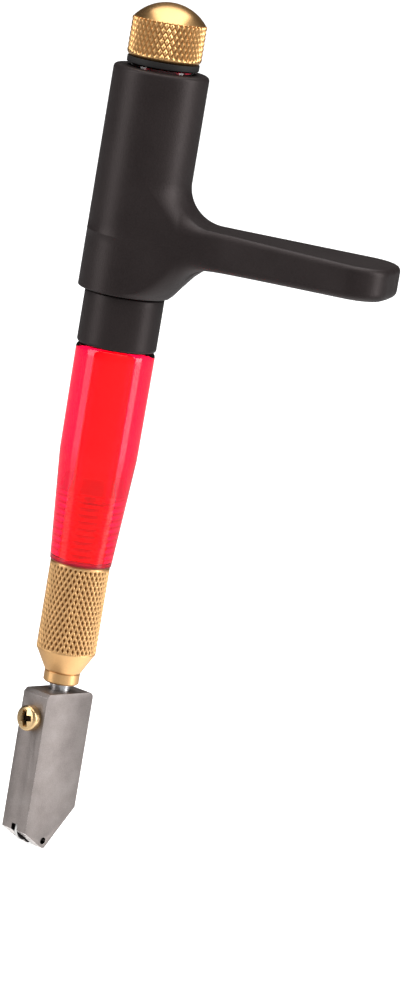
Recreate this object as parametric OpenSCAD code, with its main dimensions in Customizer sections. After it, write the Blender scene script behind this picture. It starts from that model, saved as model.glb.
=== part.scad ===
// Oil-fed glass cutter with a turning palm rest.
// The tool stands on its point: +Z runs up the tool axis, +X points along the
// palm rest, and the origin lies on the axis at the level of the head's point.
// All sizes are in millimetres.

/* [Cutting head] */
// Width of the steel block across its wide face
head_w = 12.7; // [12:0.1:14]
// Thickness of the block
head_t = 6.4; // [6.2:0.1:7.5]
// Height of the block above its point
head_h = 30.8; // [29:0.1:31]
// Distance from the screw's face to the point
point_in = 5.5; // [5.2:0.1:5.8]
// Rise of the short bevel, which carries the wheel
short_rise = 3.2; // [3:0.1:3.4]
// Rise of the long bevel
long_rise = 7.8; // [6:0.1:9]
// Turn of the head about the tool axis, against the palm rest
head_yaw = -26; // [-45:1:45]

/* [Cutting wheel] */
// Diameter of the carbide wheel
wheel_d = 5.6; // [5:0.1:5.9]
// Thickness of the wheel
wheel_t = 1.1; // [0.8:0.05:1.2]
// How far the wheel stands out of the short bevel
wheel_proud = 0.8; // [0.5:0.05:0.9]
// Distance of the wheel's centre from the screw's face, along the short bevel
wheel_along = 2.5; // [2.2:0.05:2.6]
// Diameter of the axle
axle_d = 1.4; // [1:0.1:1.5]
// Width of the slot that the wheel turns in
slot_w = 1.5; // [1.4:0.05:1.6]

/* [Clamp screw] */
// Diameter of the screw's head
screw_head_d = 5; // [4:0.1:5]
// Height of the screw's head
screw_head_h = 2.2; // [1.5:0.1:2.2]
// Diameter of the screw's thread
screw_d = 2.5; // [2:0.1:2.6]
// Depth of the screw below the block's top face
screw_down = 5.3; // [4.5:0.1:5.5]

/* [Spindle and valve] */
// Diameter of the spindle that carries the head
spindle_d = 4.1; // [3.8:0.1:4.2]
// Travel of the spindle when the wheel is pressed on the glass
plunge = 1.2; // [0.8:0.1:1.4]
// Wire diameter of the valve spring
spring_wire = 0.5; // [0.4:0.05:0.6]
// Turns of the valve spring
spring_turns = 8; // [6:1:10]

/* [Ferrule] */
// Diameter of the knurled grip
ferrule_d = 11.5; // [11:0.1:11.8]
// Height at which the knurled grip starts
knurl_low = 38.6; // [38:0.1:39]
// Height of the shoulder where the barrel starts
barrel_low = 56.1; // [55:0.1:58]
// Diameter of the threaded stub inside the barrel
stub_d = 8.8; // [8.4:0.1:9]
// Length of the threaded stub
stub_h = 12.7; // [12:0.1:13]

/* [Barrel] */
// Diameter of the barrel at its foot
barrel_foot_d = 11.9; // [11.9:0.1:13]
// Diameter of the barrel at the knee
barrel_knee_d = 14.9; // [14:0.1:15]
// Height of the knee
knee_z = 77.2; // [74:0.1:80]
// Diameter of the barrel below its shoulder
barrel_top_d = 15.2; // [15:0.1:15.5]
// Height of the shoulder, where the stem starts
shoulder_z = 98.3; // [96:0.1:98.4]
// Diameter of the stem inside the palm rest
stem_d = 12; // [11.8:0.1:12.4]
// Height of the top of the stem
stem_top = 152.4; // [152.2:0.1:153]
// Diameter of the oil reservoir
reservoir_d = 8; // [7:0.1:8.4]

/* [Palm rest] */
// Diameter of the palm rest's tube above the arm
tube_d = 18.2; // [17.4:0.1:19]
// Diameter of the tube at its lower end
tube_foot_d = 18.4; // [17.8:0.1:19.5]
// Lower end of the tube
tube_low = 109; // [109:0.1:110]
// Upper end of the tube
tube_top = 151.8; // [150:0.1:151.8]
// Reach of the arm from the tool axis
arm_reach = 51.25; // [45:0.25:60]
// Width of the arm near its end
arm_end_w = 21; // [18:0.1:26]
// Width of the arm at its waist
arm_waist_w = 11.7; // [10:0.1:14]
// Height of the arm's flat top, carried through to the tool axis
arm_top = 124.6; // [122:0.1:126]
// Thickness of the arm, carried through to the tool axis
arm_t = 7.95; // [6:0.05:9]
// Fall of the arm's top towards its end, in degrees
arm_slope = 1; // [0:0.1:2]
// Rise of the arm's underside towards its end, in degrees
under_slope = 0.9; // [0:0.1:1.5]
// Radius of the fillet between the arm and the tube
arm_fillet = 7.2; // [5:0.1:9]
// Diameter of the spacer ring under the palm rest
spacer_d = 15.3; // [15:0.1:16]
// Height of the spacer ring
spacer_h = 10.3; // [9:0.1:10.4]

/* [Filler cap] */
// Diameter of the knurled cap
cap_d = 14.2; // [13.5:0.1:16]
// Height of the knurled part, with its lower chamfer
cap_grip_h = 7.35; // [6:0.05:9]
// Height of the polished dome
dome_h = 3.5; // [3:0.1:4]
// Diameter of the rubber washer
washer_d = 13.8; // [13:0.1:15]
// Thickness of the rubber washer
washer_t = 1.2; // [0.8:0.05:1.5]
// Length of the cap's threaded plug
plug_h = 6; // [4:0.1:7]

/* [Hidden] */
$fn = 96;

// Fits
run_gap = 0.05;      // radial clearance of a running fit
thread_gap = 0.05;   // radial clearance that stands for a thread
seat_gap = 0.05;     // clearance under a piece that rests on a seat
cut = 1;             // how far a cutter runs past the face it opens

// Head block
block_back = head_w / 2;
block_front = -head_w / 2;
point_y = block_front + point_in;
point_flat = 0.5;
top_chamfer = 0.7;
corner_r = 1.2;
bevel_deg = atan(short_rise / point_in);
wheel_y = block_front + wheel_along * cos(bevel_deg) + (wheel_d / 2 - wheel_proud) * sin(bevel_deg);
wheel_z = short_rise - wheel_along * sin(bevel_deg) + (wheel_d / 2 - wheel_proud) * cos(bevel_deg);
wheel_pocket_r = wheel_d / 2 + 0.45;
wheel_edge = 0.23;
slot_depth = 1.2;
relief_hole_r = 0.7;
relief_y = point_y - 0.3;
relief_z = 1.45;
axle_wall = 0.8;
screw_z = head_h - screw_down;
oil_hole_r = 0.6;

// Spindle, and the flat that the screw's end meets when the head has turned 10 degrees
spindle_low = 20.6;
spindle_shoulder = 43;
spindle_flat = 1.35;
screw_tip_r = 0.9;
screw_tip_y = 1.56;
screw_tip_h = 1;
flat_h = 3.2;
pin_r = 0.9;
clip_z = 40.25;
clip_t = 0.7;
clip_r = 3;
clip_groove_r = 1.6;
feed_hole_r = 0.4;

// Ferrule
nose_z = 34.5;
neck_r = 3.45;
neck_low = 32.3;
bush_r = 2.9;
bush_top = 37.95;
ledge_low = 39;
ledge_top = 40.2;
valve_bore_r = 3.3;
ferrule_ring_r = 0.4;
stub_top = barrel_low + stub_h;
lead_in = 0.5;

// Valve
seat_low = 47;
seat_top = 49;
seat_hole_r = 1.15;
seal_t = 1;
poppet_r = 2.4;
poppet_disc_z = seat_top + seat_gap + seal_t;
poppet_disc_t = 1;
poppet_stem_z = 55;
pin_top = seat_top + 0.3;
spring_r = 1.75;
spring_low = poppet_disc_z + poppet_disc_t;
retainer_low = 61;
retainer_t = 2.2;
strainer_r = 0.45;
strainer_pcr = 2.1;

// Barrel
barrel_thread_h = stub_h + 1.2;
cap_thread_h = plug_h + 3;
shoulder_r = 1;

// Palm rest
tube_r = tube_d / 2;
grip_low = arm_top + arm_fillet + 0.4;
bore_r = stem_d / 2 + 0.08;
arm_corner = 6.5;
waist_x = 15;
fillet_deg = 75;
fairing = [[0, 1], [1.6, 3.2], [3.2, 5], [5.4, 6.8], [8, 7.8], [10.5, 8.45]];
plate_end = arm_reach + 1;
spacer_low = shoulder_z + 0.1;

// Filler cap
washer_z = stem_top + seat_gap;
cap_z = washer_z + washer_t;
cap_r = cap_d / 2;
cap_chamfer = 1;
dome_base_r = cap_r - 0.15;
grip_top = cap_z + cap_grip_h;
dome_r = (dome_base_r * dome_base_r + dome_h * dome_h) / (2 * dome_h);

// Turns the head's pieces to the head's place. In their own frame +X is the wide
// face's normal and -Y is the normal of the narrow face that holds the screw.
module on_head() rotate([0, 0, head_yaw]) children();

// Carries a drawing whose X is the head's Y, and whose Y is the height, to the
// mid plane of the head, and gives it the thickness t.
module across_head(t) rotate([90, 0, 90]) linear_extrude(t, center = true) children();

// A round bar along the head's X, centred at a place on the wide face.
module cross_bar(y, z, r, x0, x1)
    translate([x0, y, z]) rotate([0, 90, 0]) cylinder(r = r, h = x1 - x0);

// Points of an arc about c, from angle a0 to a1 in steps.
function arc(c, r, a0, a1, steps = 12) =
    [for (i = [0 : steps]) let (a = a0 + (a1 - a0) * i / steps) c + r * [cos(a), sin(a)]];

// The block's outline on its wide face.
module block_outline()
    polygon(concat(
        [[point_y - point_flat / 2, 0], [point_y + point_flat / 2, 0],
         [block_back, long_rise]],
        arc([block_back - corner_r, head_h - corner_r], corner_r, 0, 90, 6),
        [[block_front + top_chamfer, head_h], [block_front, head_h - top_chamfer],
         [block_front, short_rise]]));

module cutting_head() color("#8c8480") on_head() difference() {
    across_head(head_t) block_outline();
    // socket for the spindle, with the oil hole below it
    translate([0, 0, spindle_low - 0.4])
        cylinder(r = spindle_d / 2 + run_gap, h = head_h);
    translate([0, wheel_y * 0.35, 0]) cylinder(r = oil_hole_r, h = spindle_low);
    // slot for the wheel, open through the point and through the screw's face
    cross_bar(wheel_y, wheel_z, wheel_pocket_r, -slot_w / 2, slot_w / 2);
    translate([0, point_y, 0]) rotate([-bevel_deg, 0, 0])
        translate([-slot_w / 2, -point_in, -cut]) cube([slot_w, point_in + 2, slot_depth + cut]);
    // relief hole at the slot's end, and the blind hole for the axle
    cross_bar(relief_y, relief_z, relief_hole_r, -head_t, head_t);
    cross_bar(wheel_y, wheel_z, axle_d / 2 + 0.01, -head_t, head_t / 2 - axle_wall);
    // tapped hole for the clamp screw
    translate([0, 0, screw_z]) rotate([90, 0, 0])
        cylinder(r = screw_d / 2 + thread_gap, h = head_w);
}

module cutting_wheel() color("#d8d6d2") on_head()
    translate([0, wheel_y, wheel_z]) rotate([0, 90, 0]) rotate_extrude()
        polygon([[axle_d / 2 + 0.03, -wheel_t / 2], [wheel_d / 2 - wheel_edge, -wheel_t / 2],
            [wheel_d / 2, 0], [wheel_d / 2 - wheel_edge, wheel_t / 2],
            [axle_d / 2 + 0.03, wheel_t / 2]]);

module wheel_axle() color("#b9b9bb") on_head()
    cross_bar(wheel_y, wheel_z, axle_d / 2, -head_t / 2, head_t / 2 - axle_wall - 0.02);

// Pan head with a crossed recess, a threaded shank and a plain dog point.
module clamp_screw() color("#d9b25f") on_head()
    translate([0, block_front, screw_z]) rotate([90, 0, 0]) difference() {
        union() {
            intersection() {
                cylinder(d = screw_head_d, h = screw_head_h);
                translate([0, 0, screw_head_h - screw_head_d]) sphere(r = screw_head_d);
            }
            shank_end = -block_front - screw_tip_y - screw_tip_h;
            translate([0, 0, -shank_end]) cylinder(d = screw_d, h = shank_end + 0.1);
            translate([0, 0, block_front + screw_tip_y])
                cylinder(r = screw_tip_r, h = screw_tip_h + 0.1);
        }
        for (turn = [0, 90]) rotate([0, 0, turn])
            translate([-1.6, -0.4, screw_head_h - 1.2]) cube([3.2, 0.8, 1.2 + cut]);
    }

// Steel spindle with a flat for the screw, an oil channel up its middle, a feed
// hole across it, a groove for the clip and a pin that lifts the poppet.
module spindle() color("#c9cacd") difference() {
    union() {
        translate([0, 0, spindle_low])
            cylinder(d = spindle_d, h = spindle_shoulder - spindle_low);
        translate([0, 0, spindle_shoulder]) cylinder(r = pin_r, h = pin_top - spindle_shoulder);
    }
    on_head() translate([-spindle_d, -spindle_flat - spindle_d, screw_z - flat_h / 2])
        cube([2 * spindle_d, spindle_d, flat_h]);
    translate([0, 0, spindle_low - cut])
        cylinder(r = oil_hole_r, h = spindle_shoulder - spindle_low);
    translate([0, 0, spindle_shoulder - 1]) rotate([90, 0, 0])
        cylinder(r = feed_hole_r, h = 2 * spindle_d, center = true);
    translate([0, 0, clip_z - 0.02]) difference() {
        cylinder(r = spindle_d, h = clip_t + 0.04);
        translate([0, 0, -cut]) cylinder(r = clip_groove_r, h = clip_t + 2 * cut);
    }
}

// Snap ring in the spindle's groove. It stops the spindle on the ferrule's ledge.
module spindle_clip() color("#8e9094") translate([0, 0, clip_z]) difference() {
    cylinder(r = clip_r, h = clip_t);
    translate([0, 0, -cut]) cylinder(r = clip_groove_r + 0.01, h = clip_t + 2 * cut);
    translate([-clip_groove_r * 0.8, 0, -cut])
        cube([clip_groove_r * 1.6, clip_r + cut, clip_t + 2 * cut]);
}

// Flanged bush in the ferrule's nose, which guides the spindle.
module nose_bush() color("#c79a57") difference() {
    union() {
        translate([0, 0, neck_low]) cylinder(r = neck_r, h = nose_z - neck_low);
        translate([0, 0, nose_z]) cylinder(r = bush_r - 0.02, h = bush_top - nose_z);
    }
    translate([0, 0, neck_low - cut]) cylinder(r = spindle_d / 2 + run_gap, h = 3 * nose_z);
}

// A rubber ring of section radius r about the tool axis.
module o_ring(z, mean_r, r) translate([0, 0, z])
    rotate_extrude() translate([mean_r, 0]) circle(r = r, $fn = 32);

module spindle_o_ring() {
    inner = spindle_d / 2 + 0.06;
    section = (bush_r - 0.02 - inner) / 2;
    color("#202020") o_ring(bush_top + section + 0.05, inner + section, section);
}

// Knurled brass ferrule: cone, grip, shoulder and threaded stub.
module ferrule() color("#c79a57") difference() {
    rotate_extrude() polygon([[0, nose_z], [neck_r, nose_z], [ferrule_d / 2, knurl_low],
        [ferrule_d / 2, barrel_low], [stub_d / 2, barrel_low],
        [stub_d / 2, stub_top - lead_in], [stub_d / 2 - lead_in, stub_top], [0, stub_top]]);
    translate([0, 0, nose_z - cut]) cylinder(r = bush_r, h = ledge_low - nose_z + cut);
    translate([0, 0, ledge_low - cut]) cylinder(r = spindle_d / 2 + 0.25, h = cut + 2);
    translate([0, 0, ledge_top]) cylinder(r = valve_bore_r, h = stub_top);
}

module ferrule_o_ring() color("#e6e0da")
    o_ring(barrel_low + ferrule_ring_r, stub_d / 2 + ferrule_ring_r + 0.02, ferrule_ring_r);

// Ring pressed into the ferrule, with the hole that the poppet closes.
module valve_seat() color("#d0a868") difference() {
    translate([0, 0, seat_low]) cylinder(r = valve_bore_r - 0.01, h = seat_top - seat_low);
    translate([0, 0, seat_low - cut]) cylinder(r = seat_hole_r, h = seat_top);
}

module poppet_seal() color("#202020") difference() {
    translate([0, 0, seat_top + seat_gap]) cylinder(r = poppet_r, h = seal_t);
    translate([0, 0, seat_top - cut]) cylinder(r = pin_r, h = seat_top);
}

// Disc with a boss below, which the spindle's pin lifts, and a stem in the spring.
module valve_poppet() color("#d0a868") union() {
    translate([0, 0, poppet_disc_z]) cylinder(r = poppet_r, h = poppet_disc_t);
    translate([0, 0, pin_top]) cylinder(r = pin_r - 0.02, h = poppet_disc_z - pin_top + 0.1);
    translate([0, 0, poppet_disc_z]) cylinder(r = pin_r + 0.1, h = poppet_stem_z - poppet_disc_z);
}

// Round wire wound into a compression spring, swept ring by ring.
module valve_spring() {
    sides = 8;
    rings = spring_turns * 14;
    low = spring_low + spring_wire / 2 + 0.02;
    high = retainer_low - spring_wire / 2 - 0.02;
    function ring(i) = let (a = 360 * spring_turns * i / rings,
            z = low + (high - low) * i / rings)
        [for (k = [0 : sides - 1]) let (b = 360 * k / sides,
            r = spring_r + spring_wire / 2 * cos(b))
            [r * cos(a), r * sin(a), z + spring_wire / 2 * sin(b)]];
    points = [for (i = [0 : rings]) each ring(i)];
    walls = [for (i = [0 : rings - 1]) for (k = [0 : sides - 1]) let (n = (k + 1) % sides)
        [i * sides + k, i * sides + n, (i + 1) * sides + n, (i + 1) * sides + k]];
    low_end = [for (k = [0 : sides - 1]) sides - 1 - k];
    high_end = [for (k = [0 : sides - 1]) rings * sides + k];
    color("#b4b6ba") polyhedron(points, concat([low_end], walls, [high_end]), convexity = 10);
}

// Threaded plug with strainer holes, which holds the spring down.
module spring_retainer() color("#d0a868") difference() {
    translate([0, 0, retainer_low]) cylinder(r = valve_bore_r - 0.01, h = retainer_t);
    for (turn = [0 : 60 : 300]) rotate([0, 0, turn])
        translate([strainer_pcr, 0, retainer_low - cut]) cylinder(r = strainer_r, h = retainer_t + 2 * cut);
    translate([0, 0, retainer_low - cut]) cylinder(r = strainer_r, h = retainer_t + 2 * cut);
}

// Transparent barrel with its reservoir, and the stem that carries the palm rest.
module barrel() color("#e8102a", 0.75) difference() {
    rotate_extrude() polygon(concat(
        [[0, barrel_low], [barrel_foot_d / 2, barrel_low], [barrel_knee_d / 2, knee_z]],
        arc([barrel_top_d / 2 - shoulder_r, shoulder_z - shoulder_r], shoulder_r, 0, 90, 6),
        [[stem_d / 2, shoulder_z], [stem_d / 2, stem_top], [0, stem_top]]));
    translate([0, 0, barrel_low - cut])
        cylinder(r = stub_d / 2 + thread_gap, h = barrel_thread_h + cut);
    translate([0, 0, barrel_low - cut])
        cylinder(r = stub_d / 2 + 2 * ferrule_ring_r + 0.04, h = 2 * ferrule_ring_r + cut);
    translate([0, 0, barrel_low]) cylinder(d = reservoir_d, h = stem_top);
    translate([0, 0, stem_top - cap_thread_h])
        cylinder(r = stub_d / 2 + thread_gap, h = cap_thread_h + cut);
}

module spacer_ring() color("#34302f") difference() {
    translate([0, 0, spacer_low]) rotate_extrude() polygon(concat(
        [[0, 0]], arc([spacer_d / 2 - 0.6, 0.6], 0.6, -90, 0, 6),
        [[spacer_d / 2, spacer_h - 0.2], [spacer_d / 2 - 0.2, spacer_h], [0, spacer_h]]));
    translate([0, 0, spacer_low - cut]) cylinder(r = bore_r, h = spacer_h + 2 * cut);
}

// The fan that the arm makes when it is seen from above.
module arm_plan() {
    side_deg = atan((arm_end_w - arm_waist_w) / 2 / (arm_reach - arm_corner - waist_x));
    corner = [arm_reach - arm_corner - 0.3, arm_end_w / 2 - arm_corner];
    side = concat(arc(corner, arm_corner, 8, 90 + side_deg, 8),
        [[waist_x, arm_waist_w / 2]],
        arc([0, 0], tube_r - 0.01, fillet_deg, fillet_deg + 15, 3));
    polygon(concat([[arm_reach, 0]], side,
        [for (i = [len(side) - 1 : -1 : 0]) [side[i][0], -side[i][1]]]));
}

// Section of the arm's root in a plane through the axis: fairing below, fillet above.
module root_section() {
    polygon(concat([[bore_r + 1, tube_low + 0.3], [tube_r - 0.6, tube_low + 0.3]],
        [for (p = fairing) [tube_r, tube_low] + p],
        [[tube_r + arm_fillet, arm_top - 2]],
        arc([tube_r + arm_fillet, arm_top + arm_fillet - 0.02], arm_fillet, 270, 180, 10),
        [[bore_r + 1, arm_top + arm_fillet]]));
}

// Side view of the arm: its flat top falls and its flat underside rises to the end.
module arm_side() rotate([90, 0, 0]) linear_extrude(arm_end_w + 2, center = true)
    polygon([[bore_r + 1, arm_top - (bore_r + 1) * tan(arm_slope)],
        [bore_r + 1, arm_top - arm_t + (bore_r + 1) * tan(under_slope)],
        [plate_end, arm_top - arm_t + plate_end * tan(under_slope)],
        [plate_end, arm_top - plate_end * tan(arm_slope)]]);

module saddle() color("#3a3635") difference() {
    union() {
        rotate_extrude() polygon(concat(
            [[0, tube_low], [tube_foot_d / 2 - 0.3, tube_low], [tube_foot_d / 2, tube_low + 0.3],
             [tube_r, grip_low]],
            arc([tube_r - 0.8, tube_top - 0.8], 0.8, 0, 90, 6), [[0, tube_top]]));
        intersection() {
            union() {
                translate([0, 0, arm_top]) rotate([0, arm_slope, 0]) translate([0, 0, -arm_top])
                    rotate_extrude() root_section();
                arm_side();
            }
            translate([0, 0, tube_low]) linear_extrude(tube_top - tube_low) arm_plan();
        }
    }
    translate([0, 0, tube_low - cut]) cylinder(r = bore_r, h = tube_top);
    translate([0, 0, tube_top - 0.5]) cylinder(r1 = bore_r, r2 = bore_r + 0.6 + 0.6, h = 1);
}

module cap_washer() color("#241f20") translate([0, 0, washer_z]) difference() {
    cylinder(d = washer_d, h = washer_t);
    translate([0, 0, -cut]) cylinder(r = stub_d / 2 + 0.1, h = washer_t + 2 * cut);
}

// Knurled, domed cap on its threaded plug.
module filler_cap() color("#d6a54a") rotate_extrude() polygon(concat(
    [[0, cap_z - washer_t - plug_h], [stub_d / 2 - lead_in, cap_z - washer_t - plug_h],
     [stub_d / 2, cap_z - washer_t - plug_h + lead_in], [stub_d / 2, cap_z],
     [cap_r - cap_chamfer, cap_z], [cap_r, cap_z + cap_chamfer], [cap_r, grip_top]],
    arc([0, grip_top + dome_h - dome_r], dome_r, acos(dome_base_r / dome_r), 90, 12)));

cutting_head();
cutting_wheel();
wheel_axle();
clamp_screw();
spindle();
spindle_clip();
nose_bush();
spindle_o_ring();
ferrule();
ferrule_o_ring();
valve_seat();
poppet_seal();
valve_poppet();
valve_spring();
spring_retainer();
barrel();
spacer_ring();
saddle();
cap_washer();
filler_cap();
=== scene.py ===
# Oil-fed glass cutter with a turning palm rest, standing on its point.
import math

import bmesh
import bpy
import numpy as np
from mathutils import Matrix, Quaternion, Vector
from mathutils.bvhtree import BVHTree


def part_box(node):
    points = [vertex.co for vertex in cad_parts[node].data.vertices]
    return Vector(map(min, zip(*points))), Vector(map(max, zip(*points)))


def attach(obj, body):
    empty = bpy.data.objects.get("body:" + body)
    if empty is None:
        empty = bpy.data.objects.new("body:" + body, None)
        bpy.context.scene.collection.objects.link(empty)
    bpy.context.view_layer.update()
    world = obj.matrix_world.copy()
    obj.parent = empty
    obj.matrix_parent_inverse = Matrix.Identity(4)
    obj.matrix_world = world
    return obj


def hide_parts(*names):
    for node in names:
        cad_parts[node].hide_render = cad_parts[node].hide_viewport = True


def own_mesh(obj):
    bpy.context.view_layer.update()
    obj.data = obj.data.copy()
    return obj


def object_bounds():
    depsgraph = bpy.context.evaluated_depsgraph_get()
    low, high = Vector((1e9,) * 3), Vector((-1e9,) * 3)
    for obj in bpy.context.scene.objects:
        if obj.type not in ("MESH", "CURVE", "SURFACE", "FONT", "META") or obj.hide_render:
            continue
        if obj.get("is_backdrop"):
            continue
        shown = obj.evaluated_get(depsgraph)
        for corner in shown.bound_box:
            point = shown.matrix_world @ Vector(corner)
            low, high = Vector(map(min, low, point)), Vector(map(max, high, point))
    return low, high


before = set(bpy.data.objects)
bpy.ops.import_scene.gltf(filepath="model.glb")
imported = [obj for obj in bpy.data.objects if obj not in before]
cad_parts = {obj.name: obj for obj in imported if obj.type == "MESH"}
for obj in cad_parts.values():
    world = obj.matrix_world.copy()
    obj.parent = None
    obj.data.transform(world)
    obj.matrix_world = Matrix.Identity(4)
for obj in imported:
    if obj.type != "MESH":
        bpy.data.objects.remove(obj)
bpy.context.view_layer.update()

# The camera stands a metre off and a little above the tool, turned from square on to the
# palm rest's arm towards its end, and rolled so that the tool leans right in the picture.
camera_azimuth = math.radians(16.33)
camera_distance = 1.0
camera_height = 0.2521
camera_roll = math.radians(9.62)
camera_lens = 191.7
aim_height = 0.0718
aim_aside = 0.02075


def placed(name, data):
    """An object of that name for a mesh, light or camera, linked to the scene."""
    thing = bpy.data.objects.new(name, data)
    bpy.context.scene.collection.objects.link(thing)
    return thing


camera_right = Vector((math.cos(camera_azimuth), math.sin(camera_azimuth), 0))
camera_back = Vector((math.sin(camera_azimuth), -math.cos(camera_azimuth), 0))
camera = placed("camera", bpy.data.cameras.new("camera"))
bpy.context.scene.camera = camera
camera.data.lens = camera_lens
camera.data.clip_start = 0.01
camera.location = camera_back * camera_distance + Vector((0, 0, camera_height))
aim = Vector((0, 0, aim_height)) + camera_right * aim_aside
camera.rotation_mode = "QUATERNION"
camera.rotation_quaternion = ((aim - camera.location).to_track_quat("-Z", "Y")
                              @ Quaternion((0, 0, 1), camera_roll))
bpy.context.scene.view_settings.view_transform = "Standard"


# The steel head: a sand-blasted block with two bevels at its point and a slot for the
# wheel. Its milled shape is the frame's, and here its edges are broken and rubbed bright,
# as is the short bevel that slides over the glass. Faces that point down, as that bevel
# does, are also painted bright as a reflection of the white floor under them, and the
# bores and slots are painted black as shade.
head_edge = 0.2
inner_gap = 4.0
floor_sheen_z = -0.8
# Near-black colour for painted shade in bores and slots and on the wheel's sides.
shade_black = (0.012, 0.010, 0.010, 1)


class Value:
    """A socket of a shader. Sums, differences and products of Values and numbers
    add Math nodes, so that a pattern reads as a plain expression."""

    def __init__(self, tree, socket=None):
        self.tree = tree
        self.socket = socket

    def node(self, kind, settings=None, inputs=None, output=0):
        """Adds a node, makes its settings first, fills its sockets and gives one output."""
        made = self.tree.nodes.new(kind)
        for key, setting in (settings or {}).items():
            setattr(made, key, setting)
        for key, given in (inputs or {}).items():
            if isinstance(given, Value):
                self.tree.links.new(given.socket, made.inputs[key])
            else:
                made.inputs[key].default_value = given
        return Value(self.tree, made.outputs[output])

    def sum_of(self, operation, *terms):
        return self.node("ShaderNodeMath", {"operation": operation}, dict(enumerate(terms)))

    def __add__(self, other):
        return self.sum_of("ADD", self, other)

    def __sub__(self, other):
        return self.sum_of("SUBTRACT", self, other)

    def __mul__(self, other):
        return self.sum_of("MULTIPLY", self, other)

    def __radd__(self, other):
        return self.sum_of("ADD", other, self)

    def __rsub__(self, other):
        return self.sum_of("SUBTRACT", other, self)

    def __rmul__(self, other):
        return self.sum_of("MULTIPLY", other, self)

    def clamped(self, low, high):
        """0 below low, 1 above high, and a straight ramp between them."""
        return self.node("ShaderNodeMapRange", {}, {0: self, 1: low, 2: high})


def new_finish(name):
    """A material with a Principled shader: the material and a Value to grow its nodes from."""
    material = bpy.data.materials.new(name)
    material.use_nodes = True
    return material, Value(material.node_tree)


def dress(material, **sockets):
    """Sets or links sockets of the material's Principled shader; _ stands for a space."""
    shader = material.node_tree.nodes["Principled BSDF"]
    for key, given in sockets.items():
        socket = shader.inputs[key.replace("_", " ")]
        if isinstance(given, Value):
            material.node_tree.links.new(given.socket, socket)
        else:
            socket.default_value = given


def grain(v, scale, detail=3.0, stretch=(1, 1, 1)):
    """Noise from 0 to 1 in the piece's own coordinates, stretched along its axes."""
    at = v.node("ShaderNodeTexCoord", output="Object")
    at = v.node("ShaderNodeMapping", {}, {"Vector": at, "Scale": stretch})
    return v.node("ShaderNodeTexNoise", {}, {"Vector": at, "Scale": scale, "Detail": detail}, "Fac")


def mixed(factor, a, b):
    """Colour a where the factor is 0, and colour b where it is 1."""
    return factor.node("ShaderNodeMix", {"data_type": "RGBA"}, {0: factor, 6: a, 7: b}, 2)


def relief(height, distance, strength=1.0):
    """The normal of a surface raised by height times distance, in metres."""
    return height.node("ShaderNodeBump", {}, {"Height": height, "Distance": distance,
                                              "Strength": strength})


def mark(v, name):
    """The number that a mesh holds under that name: how rubbed or how deep it is there, or how much
    painted shade or painted sheen it gets.
    """
    return v.node("ShaderNodeAttribute", {"attribute_name": name}, output="Fac")


def steel_finish(name, base, dark, bright, rough, speckle):
    """Steel with a matt speckle, cloudy stains, bright rubbed edges and faces painted bright as a
    reflection where they are so marked, and bores and slots painted black as shade.
    """
    material, v = new_finish(name)
    fine = grain(v, speckle, 2.0)
    cloud = grain(v, 220.0, 4.0)
    wear_and_sheen = mark(v, "wear_and_sheen") * grain(v, 900.0, 3.0).clamped(0.34, 0.5)
    tone = mixed((cloud * 0.55 + fine * 0.45).clamped(0.34, 0.66), dark, base)
    dress(material, Metallic=1.0,
          Base_Color=mixed(mark(v, "inner"), mixed(wear_and_sheen, tone, bright), shade_black),
          Roughness=(rough + 0.16 * fine) - wear_and_sheen * (rough - 0.26),
          Normal=relief(fine * (1 - wear_and_sheen), 0.00006, 0.7))
    return material


def show(name, mesh, material, body, slot, *nodes):
    """Puts a finished mesh in the scene as a piece that stands for CAD nodes."""
    piece = placed(name, mesh)
    mesh.materials.clear()
    mesh.materials.append(material)
    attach(piece, body)
    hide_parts(*nodes)
    return piece


def eased(node, width, rounds=2):
    """A merged copy of a node's mesh with its sharp edges rounded off by width, in mm.
    The faces of the rounding are marked as rubbed edges, and faces with another part of the mesh
    less than inner_gap mm in front of them, as in bores and slots, are marked for painted shade."""
    edges_from = math.radians(28)
    flat_within = math.radians(0.6)
    creased_from = math.radians(38)
    work = bmesh.new()
    work.from_mesh(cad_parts[node].data)
    bmesh.ops.remove_doubles(work, verts=work.verts, dist=1e-6)
    bmesh.ops.dissolve_limit(work, angle_limit=flat_within, verts=work.verts, edges=work.edges)
    wear_and_sheen = work.faces.layers.float.new("wear_and_sheen")
    sharp = [e for e in work.edges if len(e.link_faces) == 2
             and e.calc_face_angle(0) > edges_from]
    made = bmesh.ops.bevel(work, geom=sharp, offset=width / 1000, segments=rounds,
                           profile=0.5, affect="EDGES", clamp_overlap=True)
    for face in made["faces"]:
        face[wear_and_sheen] = 1.0
    bmesh.ops.triangulate(work, faces=[f for f in work.faces if len(f.verts) > 4])
    tree = BVHTree.FromBMesh(work)
    inner = work.faces.layers.float.new("inner")
    for face in work.faces:
        start = face.calc_center_median() + face.normal * 1e-5
        face[inner] = float(tree.ray_cast(start, face.normal, inner_gap / 1000)[0] is not None)
    mesh = bpy.data.meshes.new(node)
    work.to_mesh(mesh)
    work.free()
    mesh.shade_smooth()
    mesh.set_sharp_from_angle(angle=creased_from)
    return mesh


head_steel = steel_finish("blasted_steel", (0.34, 0.305, 0.29, 1), (0.23, 0.20, 0.19, 1),
                          (0.92, 0.87, 0.84, 1), 0.42, 5200.0)
head_block = eased("cutting_head", head_edge)
# Faces that point down, as the short bevel does, get the bright rubbed colour: wear from grinding,
# and a painted reflection of the white floor under them.
for face in head_block.polygons:
    if face.normal.z < floor_sheen_z:
        head_block.attributes["wear_and_sheen"].data[face.index].value = 1
show("head_block", head_block, head_steel, "head", "blasted_steel", "cutting_head")

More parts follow.
